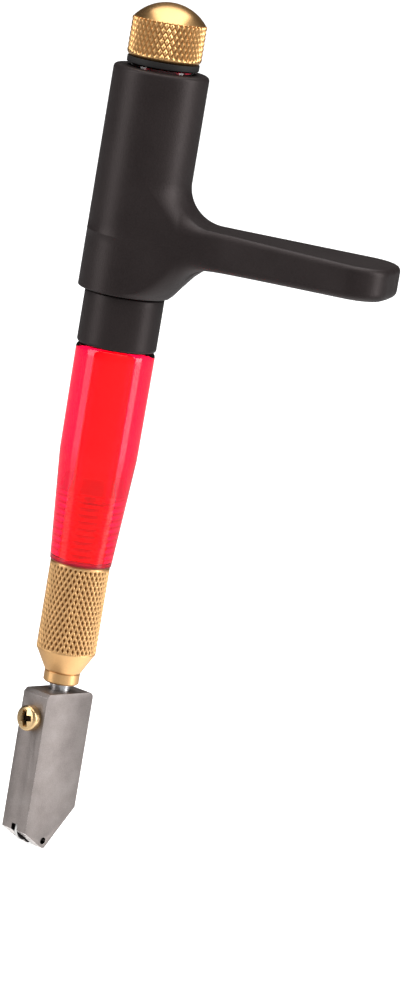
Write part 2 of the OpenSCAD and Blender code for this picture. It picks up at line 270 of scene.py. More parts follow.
# The wheel: carbide with a ground V edge and flat sides painted near-black as shade, as
# they sit deep in the head's slot. It turns on a hardened pin pressed into the head from
# the face that is turned away.
wheel_low, wheel_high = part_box("cutting_wheel")
wheel_centre = (np.array(wheel_low) + np.array(wheel_high)) * 500
wheel_turn = math.atan2(-wheel_centre[0], wheel_centre[1]) + math.pi
wheel_r = (wheel_high[2] - wheel_low[2]) * 500
wheel_half = 0.55
wheel_edge = 0.23
wheel_cone = 0.03
wheel_bevel = 0.1
wheel_bore_r = 0.73
wheel_dish_r = 1.6


def straight(p, q, count):
    """Points from p towards q, without q."""
    share = np.arange(count)[:, None] / count
    return np.array(p, float) + share * (np.array(q, float) - np.array(p, float))


def bow(centre, radius, start, end, count):
    """Points of an arc about a centre, from one angle in degrees to another."""
    a = np.radians(np.linspace(start, end, count))
    return np.array(centre, float) + radius * np.stack([np.cos(a), np.sin(a)], 1)


def quads(rows, columns, wrap):
    """Faces between neighbouring points of a grid that closes round its columns, and
    round its rows too if it wraps. Point (i, j) has the number i * columns + j."""
    i = np.arange(rows if wrap else rows - 1)[:, None]
    j = np.arange(columns)[None, :]
    up, on = (i + 1) % rows, (j + 1) % columns
    return np.stack([i * columns + j, i * columns + on, up * columns + on, up * columns + j],
                    -1).reshape(-1, 4)


def woven(name, points, wrap, depth=None, crease=35):
    """A closed mesh from a grid of points in mm. Doubles are merged, so that poles close,
    and faces are turned outwards. depth is stored at the points for the finish."""
    rows, columns = points.shape[:2]
    mesh = bpy.data.meshes.new(name)
    mesh.from_pydata((points.reshape(-1, 3) / 1000).tolist(), [],
                     quads(rows, columns, wrap).tolist())
    if depth is not None:
        layer = mesh.attributes.new("depth", "FLOAT", "POINT")
        layer.data.foreach_set("value", depth.astype(np.float32).ravel())
    work = bmesh.new()
    work.from_mesh(mesh)
    bmesh.ops.remove_doubles(work, verts=work.verts, dist=1e-6)
    bmesh.ops.dissolve_degenerate(work, edges=work.edges, dist=1e-7)
    bmesh.ops.recalc_face_normals(work, faces=work.faces)
    work.to_mesh(mesh)
    work.free()
    mesh.shade_smooth()
    mesh.set_sharp_from_angle(angle=math.radians(crease))
    return mesh


def turned(name, stretches, columns=96, wrap=True, push=None, crease=35):
    """A piece turned on a lathe: the point (r, z) of its profile at angle a becomes
    (r cos a, r sin a, z). push(r, z, a) moves points outwards, as a knurl or thread does,
    and what it takes away is kept as depth."""
    profile = np.concatenate([np.atleast_2d(np.array(s, float)) for s in stretches])
    a = np.linspace(0, 2 * math.pi, columns, endpoint=False)[None, :]
    r = profile[:, :1] + 0 * a
    z = profile[:, 1:] + 0 * a
    moved = push(r, z, a) if push else 0 * r
    points = np.stack([(r + moved) * np.cos(a), (r + moved) * np.sin(a), z], -1)
    return woven(name, points, wrap, -moved, crease)


def paint_shade(mesh, rule):
    """Sets a mesh's depth, which its finish reads as painted shade, from a rule of x, y and z in mm.
    """
    spots = np.empty(len(mesh.vertices) * 3, np.float32)
    mesh.vertices.foreach_get("co", spots)
    depth = rule(*(spots.reshape(-1, 3).T * 1000))
    mesh.attributes["depth"].data.foreach_set("value", depth.astype(np.float32))
    return mesh


def about_wheel(mesh):
    """Lays a piece turned about Z along the head's own cross axis, at the wheel."""
    mesh.transform(Matrix.Translation(Vector(wheel_centre / 1000))
                   @ Matrix.Rotation(wheel_turn, 4, "Z") @ Matrix.Rotation(math.pi / 2, 4, "Y"))
    return mesh


carbide, v = new_finish("carbide")
ring_lines = grain(v, 2600.0, 2.0)
# The wheel's flat sides, marked by their depth, are painted near-black as shade.
slot_shade = mark(v, "depth").clamped(0.4, 0.6)
ground = mixed(ring_lines, (0.62, 0.61, 0.60, 1), (0.92, 0.91, 0.89, 1))
dress(carbide, Base_Color=mixed(slot_shade, ground, shade_black), Metallic=1.0,
      Roughness=0.22 + 0.2 * ring_lines, Normal=relief(ring_lines, 0.00001, 0.4))
wheel = about_wheel(paint_shade(turned("wheel", [
    straight((wheel_bore_r + wheel_bevel, -wheel_half), (wheel_dish_r, -wheel_half), 3),
    straight((wheel_dish_r, -wheel_half), (wheel_r - wheel_edge, -wheel_half + wheel_cone), 5),
    straight((wheel_r - wheel_edge, -wheel_half + wheel_cone), (wheel_r, 0), 4),
    straight((wheel_r, 0), (wheel_r - wheel_edge, wheel_half - wheel_cone), 4),
    straight((wheel_r - wheel_edge, wheel_half - wheel_cone), (wheel_dish_r, wheel_half), 5),
    straight((wheel_dish_r, wheel_half), (wheel_bore_r + wheel_bevel, wheel_half), 3),
    straight((wheel_bore_r, wheel_half - wheel_bevel), (wheel_bore_r, -wheel_half + wheel_bevel), 4),
    [(wheel_bore_r, -wheel_half + wheel_bevel)]], 144, crease=20),
    lambda x, y, z: (np.abs(z) > wheel_half * 0.6) * 1.0))
show("carbide_wheel", wheel, carbide, "wheel", "carbide", "cutting_wheel")

pin_steel = steel_finish("pin_steel", (0.62, 0.62, 0.63, 1), (0.46, 0.46, 0.47, 1),
                         (0.8, 0.8, 0.8, 1), 0.2, 3800.0)
show("axle_pin", eased("wheel_axle", 0.1), pin_steel, "head", "pin_steel", "wheel_axle")

# The clamp screw: a polished brass pan head with a crossed recess that tapers inwards,
# on a cut thread whose plain tip keeps the head on the spindle's flat.
screw_low, screw_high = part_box("clamp_screw")
screw_z = (screw_low[2] + screw_high[2]) * 500
screw_r = (screw_high[2] - screw_low[2]) * 500
screw_face = 6.35
screw_head_h = 2.2
screw_tip = 1.56
screw_thread_r = 1.24
screw_pitch = 0.45
screw_thread_depth = 0.22
tip_r = 0.9
tip_long = 1.0
neck_end = 1.3
head_rim = 0.12
crown_r = 0.62
crown_drop = 0.88
recess_depth = 1.2
recess_r = 1.9
recess_top = (4.1, 1.3)
recess_end = (1.7, 0.7)
recess_turn = 0.2
recess_rim = 0.45


def thread(pitch, depth, low, high, start=0.0):
    """A thread's push: inwards by depth at the bottom of each groove, along a helix that
    rises one pitch a turn, and fading out over half a pitch at its ends."""
    def push(r, z, a):
        turn = (z - start) / pitch - a / (2 * math.pi)
        groove = np.abs(2 * (turn - np.floor(turn)) - 1)
        fade = np.clip(np.minimum(z - low, high - z) / (pitch / 2), 0, 1)
        return -depth * fade * np.clip(1.25 * groove - 0.1, 0, 1)
    return push


def carved(piece, cutter):
    """Cuts the cutter's shape out of a mesh, and gives the mesh."""
    holder = placed("cutter", cutter)
    block = placed("block", piece)
    cut = block.modifiers.new("cut", "BOOLEAN")
    cut.operation = "DIFFERENCE"
    cut.solver = "EXACT"
    cut.object = holder
    ready = block.evaluated_get(bpy.context.evaluated_depsgraph_get())
    mesh = bpy.data.meshes.new_from_object(ready)
    for thing in (holder, block):
        bpy.data.objects.remove(thing)
    return mesh


def wedge(size_top, size_end, top, end):
    """A straight-sided block that tapers from a rectangle at the top to one at the end."""
    corner = np.array([(1, 1), (-1, 1), (-1, -1), (1, -1)]) / 2
    low = np.column_stack([corner * size_end, np.full(4, end)])
    high = np.column_stack([corner * size_top, np.full(4, top)])
    points = np.stack([np.repeat(low.mean(0)[None], 4, 0), low, high,
                       np.repeat(high.mean(0)[None], 4, 0)])
    return woven("wedge", points, False)


screw_back = -(screw_face - screw_tip)
screw = turned("screw", [
    [(0, screw_back)], straight((tip_r - 0.15, screw_back), (tip_r, screw_back + 0.15), 2),
    straight((tip_r, screw_back + 0.2), (tip_r, screw_back + tip_long), 3),
    straight((tip_r + 0.05, screw_back + tip_long), (screw_thread_r, screw_back + neck_end), 2),
    straight((screw_thread_r, screw_back + neck_end), (screw_thread_r, 0), 64),
    [(screw_thread_r, 0), (screw_r - head_rim, 0)],
    bow((screw_r - head_rim, head_rim), head_rim, -90, 0, 4),
    straight((screw_r, 0.2), (screw_r, screw_head_h - 1.0), 3),
    bow((screw_r - crown_r, screw_head_h - crown_drop), crown_r, 0, 62, 9),
    straight((screw_r - 0.4, screw_head_h - 0.31), (0.3, screw_head_h), 8),
    [(0, screw_head_h)]], 96, wrap=False, push=lambda r, z, a: np.where(
        r > screw_thread_r + 0.01, 0,
        thread(screw_pitch, screw_thread_depth, screw_back + neck_end, 0)(r, z, a)))
for turn in (0, math.pi / 2):
    arm_cut = wedge(recess_top, recess_end, screw_head_h + 0.3, screw_head_h - recess_depth)
    arm_cut.transform(Matrix.Rotation(turn + recess_turn, 4, "Z"))
    screw = carved(screw, arm_cut)
# The crossed recess is painted near-black as shade.
paint_shade(screw, lambda x, y, z: (
    (np.hypot(x, y) < recess_r) & (z > 0) & (z < screw_head_h - recess_rim)) * 1.0)
screw.transform(Matrix.Translation((0, 0, screw_z / 1000))
                @ Matrix.Rotation(wheel_turn, 4, "Z")
                @ Matrix.Translation((0, -screw_face / 1000, 0))
                @ Matrix.Rotation(math.pi / 2, 4, "X"))
screw.set_sharp_from_angle(angle=math.radians(30))


def brass_finish(name, base, dark, rough, darken_from, darken_to):
    """Brass that is polished where tools and fingers touch it, and darker and duller where the
    piece's depth is between two depths in mm: a darker tone in knurl grooves and threads,
    and painted shade in a screw's recess."""
    material, v = new_finish(name)
    fine = grain(v, 3400.0, 2.0)
    cloud = grain(v, 180.0, 5.0)
    darkened = mark(v, "depth").clamped(darken_from, darken_to)
    stained = [colour * 0.86 for colour in base[:3]] + [1]
    tone = mixed((cloud * 0.7 + fine * 0.3).clamped(0.36, 0.64), base, stained)
    dress(material, Base_Color=mixed(darkened, tone, dark), Metallic=1.0,
          Roughness=rough + 0.10 * cloud + 0.25 * darkened, Normal=relief(fine, 0.00001, 0.35))
    return material


# Its dark colour, nearly black, is painted shade in the screw's recess.
screw_brass = brass_finish("screw_brass", (0.84, 0.58, 0.30, 1), (0.02, 0.012, 0.008, 1),
                           0.2, 0.1, 0.8)
show("pan_screw", screw, screw_brass, "screw", "screw_brass", "clamp_screw")

# The spindle: a ground steel post that carries the head, slides in the nose and lifts
# the valve's disc with its pin. A snap ring in its groove keeps it in the ferrule.
bright_steel = steel_finish("bright_steel", (0.66, 0.66, 0.67, 1), (0.52, 0.52, 0.53, 1),
                            (0.8, 0.8, 0.8, 1), 0.16, 2600.0)
show("spindle_post", eased("spindle", 0.12), bright_steel, "plunger", "bright_steel", "spindle")
show("snap_ring", eased("spindle_clip", 0.08), bright_steel, "plunger", "bright_steel",
     "spindle_clip")

# The nose bush: turned brass, pressed into the ferrule's nose. Its flange shows as a
# short neck under the cone, with a fine groove between them.
turned_brass = brass_finish("turned_brass", (0.95, 0.57, 0.255, 1), (0.27, 0.115, 0.035, 1),
                            0.36, 0.12, 0.28)
bush_low, bush_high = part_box("nose_bush")
neck_low, bush_top = bush_low[2] * 1000, bush_high[2] * 1000
neck_r = bush_high[0] * 1000
nose_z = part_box("ferrule")[0][2] * 1000
bush_r = 2.88
bush_bore_r = 2.1
bush_edge = 0.3
bore_edge = 0.2
nose_groove = 0.08
bush = turned("bush", [
    straight((neck_r - bush_edge, neck_low), (neck_r, neck_low + bush_edge), 3),
    straight((neck_r, neck_low + bush_edge), (neck_r, nose_z - 0.1), 5),
    straight((neck_r, nose_z - 0.1), (neck_r - nose_groove, nose_z), 3),
    [(neck_r - nose_groove, nose_z), (bush_r, nose_z)],
    straight((bush_r, nose_z + 0.1), (bush_r, bush_top - bush_edge), 4),
    straight((bush_r, bush_top - bush_edge), (bush_r - bush_edge, bush_top), 2),
    straight((bush_bore_r + bore_edge, bush_top), (bush_bore_r, bush_top - bore_edge), 2),
    straight((bush_bore_r, bush_top - bore_edge), (bush_bore_r, neck_low + bore_edge), 8),
    straight((bush_bore_r, neck_low + bore_edge), (bush_bore_r + bore_edge, neck_low), 2),
    [(bush_bore_r + bore_edge, neck_low)]], 96)
show("nose_sleeve", bush, turned_brass, "handle", "turned_brass", "nose_bush")

# The ferrule: turned brass with a cone, a grip with knurled pits, a shoulder for the
# barrel and a threaded stub that screws into it. The valve sits in its bore.
ferrule_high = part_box("ferrule")[1]
ferrule_r = ferrule_high[0] * 1000
stub_top = ferrule_high[2] * 1000
barrel_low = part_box("barrel")[0][2] * 1000
knurl_low = 38.6
stub_r = 4.4
thread_pitch = 1.33
thread_depth = 0.16
pits_round = 36
pit_rise = 1.95
pit_depth = 0.28
line_half = 0.11
pit_wall = 0.17
fade_long = 0.35
undercut = 0.3
undercut_long = 0.85
thread_from = 0.9
cone_r = 3.45
ledge_z = 39.0
ledge_top = 40.2
ledge_r = 2.3
valve_r = 3.3
bush_gap = 0.02


def lattice(z, a, count, rise):
    """How far a point is from two crossing families of helices, in turns: 0 on a line and
    a half in the middle between lines. Each family has count starts, and meets itself
    again after one rise."""
    across = count * a / (2 * math.pi)
    along = z / rise
    one = across + along
    other = across - along
    return (0.5 - np.abs(one - np.floor(one) - 0.5), 0.5 - np.abs(other - np.floor(other) - 0.5))


def knurled_pits(r, z, a):
    """Pits between raised diagonal lines, fading at both ends of the grip, and a thread on
    the stub."""
    one, other = lattice(z - knurl_low, a, pits_round, pit_rise)
    hollow = np.clip((np.minimum(one, other) - line_half) / pit_wall, 0, 1)
    ends = np.clip(np.minimum(z - knurl_low - 0.25, barrel_low - 0.45 - z) / fade_long, 0, 1)
    outer = r > ferrule_r - 0.01
    stub = (np.abs(r - stub_r) < 0.01) & (z > barrel_low)
    cut_thread = thread(thread_pitch, thread_depth, barrel_low + thread_from, stub_top)
    return (np.where(outer, -pit_depth * hollow * hollow * (3 - 2 * hollow) * ends, 0)
            + np.where(stub, cut_thread(r, z, a), 0))


ferrule = turned("ferrule", [
    straight((bush_r + 0.25, nose_z), (cone_r - nose_groove, nose_z), 2),
    straight((cone_r, nose_z + nose_groove), (ferrule_r - 0.15, knurl_low - 0.12), 12),
    straight((ferrule_r - 0.05, knurl_low), (ferrule_r, knurl_low + 0.15), 2),
    straight((ferrule_r, knurl_low + 0.2), (ferrule_r, barrel_low - 0.3), 136),
    straight((ferrule_r, barrel_low - 0.3), (ferrule_r - 0.25, barrel_low), 3),
    straight((ferrule_r - 0.25, barrel_low), (stub_r - undercut, barrel_low), 3),
    straight((stub_r - undercut, barrel_low), (stub_r - undercut, barrel_low + undercut_long), 3),
    straight((stub_r, barrel_low + thread_from), (stub_r, stub_top - 0.5), 90),
    straight((stub_r, stub_top - 0.5), (stub_r - 0.5, stub_top), 3),
    straight((valve_r + 0.2, stub_top), (valve_r, stub_top - 0.2), 2),
    straight((valve_r, stub_top - 0.2), (valve_r, ledge_top), 6),
    straight((valve_r, ledge_top), (ledge_r, ledge_top), 2),
    straight((ledge_r, ledge_top), (ledge_r, ledge_z), 2),
    straight((ledge_r, ledge_z), (bush_r + bush_gap, ledge_z), 2),
    straight((bush_r + bush_gap, ledge_z), (bush_r + bush_gap, nose_z + 0.23), 4),
    [(bush_r + bush_gap, nose_z + 0.23)]], pits_round * 10, push=knurled_pits, crease=50)
show("ferrule_knurled", ferrule, turned_brass, "handle", "turned_brass", "ferrule")

# Rubber rings and disc: one ring seals the spindle in the nose, one the ferrule against
# the barrel's mouth, and the disc closes the valve's seat.
rubber, v = new_finish("seal_rubber")
rubber_grain = grain(v, 2600.0, 3.0)
dress(rubber, Base_Color=mixed(rubber_grain, (0.010, 0.009, 0.009, 1), (0.024, 0.022, 0.022, 1)),
      Roughness=0.5 + 0.25 * rubber_grain, Specular_IOR_Level=0.3,
      Normal=relief(rubber_grain, 0.00003, 0.5))
silicone, v = new_finish("clear_silicone")
dress(silicone, Base_Color=(0.94, 0.90, 0.86, 1), Transmission_Weight=0.3, IOR=1.41,
      Roughness=0.3 + 0.15 * grain(v, 1800.0, 2.0))
for name, node, finish, slot in (
        ("nose_ring", "spindle_o_ring", rubber, "seal_rubber"),
        ("barrel_ring", "ferrule_o_ring", silicone, "clear_silicone")):
    ring_low, ring_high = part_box(node)
    section_r = (ring_high[2] - ring_low[2]) * 500
    middle = (ring_high[0] * 1000 - section_r, (ring_high[2] + ring_low[2]) * 500)
    ring = turned(name, [bow(middle, section_r, 0, 345, 24)], 96, crease=80)
    show(name, ring, finish, "handle", slot, node)
show("valve_disc", eased("poppet_seal", 0.12), rubber, "plunger", "seal_rubber", "poppet_seal")

# The valve: a pressed-in seat, a disc with a stem, and a screwed retainer with strainer
# holes, all turned from brass, with a spring wound from steel wire between them.
for name, node, body in (("valve_seat_ring", "valve_seat", "handle"),
                         ("valve_stem", "valve_poppet", "plunger"),
                         ("strainer_plug", "spring_retainer", "handle")):
    show(name, eased(node, 0.12), turned_brass, body, "turned_brass", node)

spring_low, spring_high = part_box("valve_spring")
wire_r = 0.25
coil_r = spring_high[0] * 1000 - wire_r
spring_turns = 8
closed_turns = 1.0


def coiled(low, high):
    """A round wire along a helix of radius coil_r. Its height rises slowly over the closed
    turns at both ends and evenly between them. The wire's circle lies in the plane of
    the radius and the tool axis, and shrinks to a point at each end."""
    share = np.linspace(0, 1, spring_turns * 40 + 1)
    turn = share * spring_turns
    ease = np.minimum(turn, spring_turns - turn).clip(0, closed_turns) / closed_turns
    rate = 2 * wire_r * 1.04 + ease * (high - low)
    climb = np.concatenate([[0], np.cumsum((rate[1:] + rate[:-1]) / 2)])
    z = low + wire_r + (high - low - 2 * wire_r) * climb / climb[-1]
    a = (turn * 2 * math.pi)[:, None]
    b = np.linspace(0, 2 * math.pi, 12, endpoint=False)[None, :]
    shrink = np.where((share == 0) | (share == 1), 0, 1)[:, None]
    r = coil_r + shrink * wire_r * np.cos(b)
    return np.stack([r * np.cos(a), r * np.sin(a), z[:, None] + shrink * wire_r * np.sin(b)], -1)


spring = woven("spring", coiled(spring_low[2] * 1000, spring_high[2] * 1000), False, crease=60)
spring_coil = show("spring_coil", spring, bright_steel, "handle", "bright_steel", "valve_spring")
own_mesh(spring_coil)

# The barrel: clear red acrylic, turned and polished, which holds the oil. It has a cut
# thread at each end, a long taper, a shoulder and a stem whose rim is a darker red.
barrel_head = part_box("barrel")[1]
stem_top = barrel_head[2] * 1000
barrel_r = barrel_head[0] * 1000
foot_r = 5.95
knee_r = 7.45
knee_z = 77.2
shoulder_z = 98.3
shoulder_r = 0.9
stem_r = 6.0
reservoir_r = 4.0
reservoir_low = 70.0
reservoir_high = 143.4
tap_r = 4.45
tap_depth = 0.06
mouth = 0.45
mouth_long = 0.8
mouth_edge = 0.25
fillet = 0.2
stem_edge = 0.3
tap_edge = 0.35
cone_long = 2.5
rim_from = 1.3
rim_full = 0.9
clear_red = (0.965, 0.002, 0.035, 1)
rim_red = (0.40, 0.01, 0.03, 1)


def tapped(r, z, a):
    """Threads cut outwards into the wall at both ends of the bore."""
    low = thread(thread_pitch, tap_depth, barrel_low + 1, reservoir_low)(r, z, a)
    high = thread(thread_pitch, tap_depth, reservoir_high, stem_top)(r, z, a)
    return np.where(np.abs(r - tap_r) < 0.01, -(low + high), 0)


barrel = turned("barrel", [
    straight((tap_r + mouth, barrel_low), (foot_r - mouth_edge, barrel_low), 3),
    bow((foot_r - mouth_edge, barrel_low + mouth_edge), mouth_edge, -90, 0, 5),
    straight((foot_r, barrel_low + 0.3), (knee_r - 0.05, knee_z - 0.8), 12),
    straight((knee_r - 0.05, knee_z - 0.8), (knee_r + 0.01, knee_z + 0.2), 4),
    straight((knee_r + 0.01, knee_z + 0.2), (barrel_r, shoulder_z - shoulder_r), 12),
    bow((barrel_r - shoulder_r, shoulder_z - shoulder_r), shoulder_r, 0, 90, 10),
    straight((barrel_r - shoulder_r - 0.05, shoulder_z), (stem_r + fillet, shoulder_z), 3),
    bow((stem_r + fillet, shoulder_z + fillet), fillet, 270, 180, 4),
    straight((stem_r, shoulder_z + 0.25), (stem_r, stem_top - stem_edge), 16),
    bow((stem_r - stem_edge, stem_top - stem_edge), stem_edge, 0, 90, 5),
    straight((stem_r - 0.35, stem_top), (tap_r + tap_edge, stem_top), 3),
    straight((tap_r + tap_edge, stem_top), (tap_r, stem_top - tap_edge), 2),
    straight((tap_r, stem_top - tap_edge), (tap_r, reservoir_high), 72),
    straight((tap_r, reservoir_high), (reservoir_r, reservoir_high - 0.5), 3),
    straight((reservoir_r, reservoir_high - 0.5), (reservoir_r, reservoir_low + cone_long), 24),
    straight((reservoir_r, reservoir_low + cone_long), (tap_r, reservoir_low), 8),
    straight((tap_r, reservoir_low), (tap_r, barrel_low + thread_from), 104),
    straight((tap_r, barrel_low + thread_from), (tap_r + mouth, barrel_low + mouth_long), 2),
    [(tap_r + mouth, barrel_low + mouth_long)]], 128, push=tapped, crease=40)

acrylic, v = new_finish("red_acrylic")
polish = grain(v, 700.0, 3.0)
height = v.node("ShaderNodeSeparateXYZ", {}, {0: v.node("ShaderNodeTexCoord", output="Object")}, 2)
dress(acrylic, Transmission_Weight=1.0, IOR=1.49, Specular_IOR_Level=0.35,
      Base_Color=mixed(height.clamped((stem_top - rim_from) / 1000, (stem_top - rim_full) / 1000),
                       clear_red, rim_red),
      Roughness=0.015 + 0.01 * polish,
      Normal=relief(grain(v, 160.0, 2.0, (1, 1, 0.25)), 0.00002, 0.5))
show("barrel_clear", barrel, acrylic, "handle", "red_acrylic", "barrel")

# The spacer ring and the palm rest: black plastic with a satin mould grain. The palm
# rest is one moulding, a tube with a broad flat arm, and turns about the stem.
plastic, v = new_finish("black_plastic")
mould_grain = grain(v, 3800.0, 2.0)
mould_cloud = grain(v, 120.0, 4.0)
dress(plastic, Base_Color=mixed((mould_grain * 0.5 + mould_cloud * 0.5).clamped(0.3, 0.7),
                                (0.012, 0.0085, 0.0085, 1), (0.021, 0.016, 0.016, 1)),
      Roughness=0.34 + 0.12 * mould_grain + 0.06 * mould_cloud,
      Specular_IOR_Level=0.36, Specular_Tint=(1.0, 0.86, 0.85, 1),
      Normal=relief(mould_grain, 0.00004, 0.55))

spacer_low, spacer_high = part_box("spacer_ring")
spacer_z0, spacer_z1 = spacer_low[2] * 1000, spacer_high[2] * 1000
spacer_r = spacer_high[0] * 1000
sleeve_r = 6.08
spacer_foot_r = 0.6
spacer_edge = 0.3
spacer = turned("spacer", [
    straight((sleeve_r + spacer_edge, spacer_z0), (spacer_r - spacer_foot_r, spacer_z0), 3),
    bow((spacer_r - spacer_foot_r, spacer_z0 + spacer_foot_r), spacer_foot_r, -90, 0, 8),
    straight((spacer_r, spacer_z0 + 0.65), (spacer_r, spacer_z1 - spacer_edge), 8),
    bow((spacer_r - spacer_edge, spacer_z1 - spacer_edge), spacer_edge, 0, 90, 5),
    straight((spacer_r - 0.35, spacer_z1), (sleeve_r + spacer_edge, spacer_z1), 3),
    straight((sleeve_r + spacer_edge, spacer_z1), (sleeve_r, spacer_z1 - spacer_edge), 2),
    straight((sleeve_r, spacer_z1 - spacer_edge), (sleeve_r, spacer_z0 + spacer_edge), 6),
    [(sleeve_r, spacer_z0 + spacer_edge)]], 128)
show("spacer_collar", spacer, plastic, "spacer", "black_plastic", "spacer_ring")

saddle_low, saddle_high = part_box("saddle")
tube_low, tube_top = saddle_low[2] * 1000, saddle_high[2] * 1000
tube_r = 9.15
tube_edge_r = 0.8
arm_reach = saddle_high[0] * 1000
arm_half = 10.35
arm_top = 124.6
arm_under = 116.65
arm_fall = math.tan(math.radians(1))
under_rise = math.tan(math.radians(0.9))
fillet_r = 7.2
corner_r = 6.2
waist = (15.0, 5.8)
waist_r = 26.0
tangent_deg = 76
top_round = 1.15
under_round = 1.6
root_round = 3.0
fairing_foot = 110.0
fairing_slope = 1.4
fairing_soft = 2.5
foot_in = 0.6
seam_back = 120.0
seam_arm = 121.4
seam_rise = 0.035
seam_half = 0.04
seam_foot = 0.12
seam_level_by = 8.0
top_fade = 5.0
under_fade = 6.0


def rounded(corners, radii, count):
    """Evenly spaced points along straight lines between corners, where each inner corner is
    replaced by an arc of its radius that touches both lines."""
    pieces = [corners[0][None]]
    for before, at, after, radius in zip(corners, corners[1:], corners[2:], radii):
        one = (before - at) / np.linalg.norm(before - at)
        other = (after - at) / np.linalg.norm(after - at)
        half = math.acos(np.clip(one @ other, -1, 1)) / 2
        centre = at + (one + other) / np.linalg.norm(one + other) * radius / math.sin(half)
        start = at + one * radius / math.tan(half) - centre
        end = at + other * radius / math.tan(half) - centre
        share = np.linspace(0, 1, 33)[:, None]
        sweep = math.pi - 2 * half
        pieces.append(centre + (np.sin((1 - share) * sweep) * start + np.sin(share * sweep) * end)
                      / math.sin(sweep))
    line = np.concatenate([*pieces, corners[-1][None]])
    run = np.concatenate([[0], np.cumsum(np.linalg.norm(np.diff(line, axis=0), axis=1))])
    place = np.linspace(0, run[-1], count)
    return np.stack([np.interp(place, run, line[:, k]) for k in (0, 1)], 1)


def top_height(plan):
    """Height of the arm's top: a fillet that leaves the tube upright and runs out flat, on
    an arm that falls evenly away from the tool."""
    away = np.clip((np.linalg.norm(plan, axis=1) - tube_r) / fillet_r, 0, 1)
    return arm_top + fillet_r * (1 - np.sqrt(1 - (1 - away) ** 2)) - arm_fall * plan[:, 0]


def under_height(plan):
    """Height of the arm's underside: a steep slope up from the tube's lower end that runs
    softly into a plane, which rises evenly towards the arm's end."""
    level = arm_under + under_rise * plan[:, 0]
    stand_off = np.clip(np.linalg.norm(plan, axis=1) - tube_r, 0, None)
    short = level - fairing_foot - fairing_slope * stand_off
    return level - (short + np.sqrt(short ** 2 + fairing_soft ** 2)) / 2


def row(plan, z):
    """One row of the palm rest: its places from above and their heights."""
    return np.column_stack([plan, np.broadcast_to(z, len(plan))])


def bearings(plan):
    """Directions from the tool axis to places seen from above, and their distances."""
    distance = np.linalg.norm(plan, axis=1)
    return plan / distance[:, None], distance


# One side of the arm's outline from above, from the tube to the middle of its end; the
# other side is its mirror image, and the tube's back closes it.
root = tube_r * np.array([math.cos(math.radians(tangent_deg)),
                          math.sin(math.radians(tangent_deg))])
side = rounded(np.array([root, waist, (arm_reach - 0.4, arm_half + 0.1), (arm_reach, 0)]),
               (waist_r, corner_r), 160)
back = np.radians(np.linspace(-tangent_deg, tangent_deg - 360, 120)[1:-1])
outline = np.concatenate([side, (side * (1, -1))[-2::-1],
                          tube_r * np.stack([np.cos(back), np.sin(back)], 1)])
heading = np.roll(outline, -1, 0) - np.roll(outline, 1, 0)
normal = np.stack([-heading[:, 1], heading[:, 0]], 1)
normal /= np.linalg.norm(normal, axis=1)[:, None]
distance = bearings(outline)[1]
stand = np.clip(distance - tube_r, 0, None)[:, None]
top_e = np.minimum(stand, top_round + root_round * np.exp(-(stand / top_fade) ** 2))
under_e = np.minimum(stand, under_round + root_round * np.exp(-(stand / under_fade) ** 2))

top_inset = outline - normal * top_e
top_bearing, top_distance = bearings(top_inset)
fillet_run = np.clip(top_distance - tube_r, 0, fillet_r)
rows = []
for a in np.radians(np.linspace(90, 0, 7)):
    rows.append(row(top_bearing * (tube_r - tube_edge_r * (1 - math.cos(a))),
                    tube_top - tube_edge_r * (1 - math.sin(a))))
fillet_start = top_height(top_bearing * tube_r)
for share in np.linspace(0, 1, 12)[1:-1]:
    high = tube_top - tube_edge_r
    rows.append(row(top_bearing * tube_r, high + share * (fillet_start - high)))
for a in np.radians(np.linspace(0, 90, 24)):
    plan = top_bearing * (tube_r + fillet_run * (1 - math.cos(a)))[:, None]
    rows.append(row(plan, top_height(plan)))
for share in np.linspace(0, 1, 9)[1:]:
    reach = tube_r + fillet_run + share * np.clip(top_distance - tube_r - fillet_run, 0, None)
    plan = top_bearing * reach[:, None]
    rows.append(row(plan, top_height(plan)))
for a in np.radians(np.linspace(0, 90, 11)[1:]):
    plan = outline - normal * top_e * (1 - math.sin(a))
    rows.append(row(plan, top_height(plan) - top_e[:, 0] * (1 - math.cos(a))))
edge_top = rows[-1][:, 2]
edge_low = under_height(outline) + under_e[:, 0]
seam = (np.interp(stand[:, 0], [0, seam_level_by], [seam_back, seam_arm])
        - arm_fall * outline[:, 0])
for share in np.linspace(0, 1, 8)[1:]:
    rows.append(row(outline, edge_top + share * (seam + seam_foot - edge_top)))
for over, grow in ((seam_half, seam_rise), (-seam_half, seam_rise), (-seam_foot, 0)):
    rows.append(row(outline + normal * grow * np.exp(-stand / top_fade), seam + over))
for share in np.linspace(0, 1, 8)[1:]:
    rows.append(row(outline, seam - seam_foot + share * (edge_low - seam + seam_foot)))
for a in np.radians(np.linspace(0, 90, 11)[1:]):
    plan = outline - normal * under_e * (1 - math.cos(a))
    rows.append(row(plan, under_height(plan) + under_e[:, 0] * (1 - math.sin(a))))
low_bearing, low_distance = bearings(rows[-1][:, :2])
for share in np.linspace(1, 0, 24)[1:]:
    plan = low_bearing * (tube_r + share * (np.maximum(low_distance, tube_r) - tube_r))[:, None]
    rows.append(row(plan, under_height(plan)))
slant = foot_in * np.clip(low_bearing[:, :1], 0, 1)
for r, z in ((tube_r, tube_low + 0.25), (tube_r - 0.1, tube_low + 0.1), (tube_r - 0.3, tube_low)):
    rows.append(row(low_bearing * (r - slant), z))
for r, z in ((sleeve_r + 0.3, tube_low), (sleeve_r, tube_low + 0.3)):
    rows.append(row(low_bearing * r, z))
for share in np.linspace(0, 1, 9)[1:]:
    turn_back = bearings(low_bearing + share * (top_bearing - low_bearing))[0]
    rows.append(row(turn_back * sleeve_r, tube_low + 4 + share * (tube_top - tube_low - 4.6)))
rows.append(row(top_bearing * (sleeve_r + 0.6), tube_top))
saddle = woven("saddle", np.stack(rows), True, crease=32)
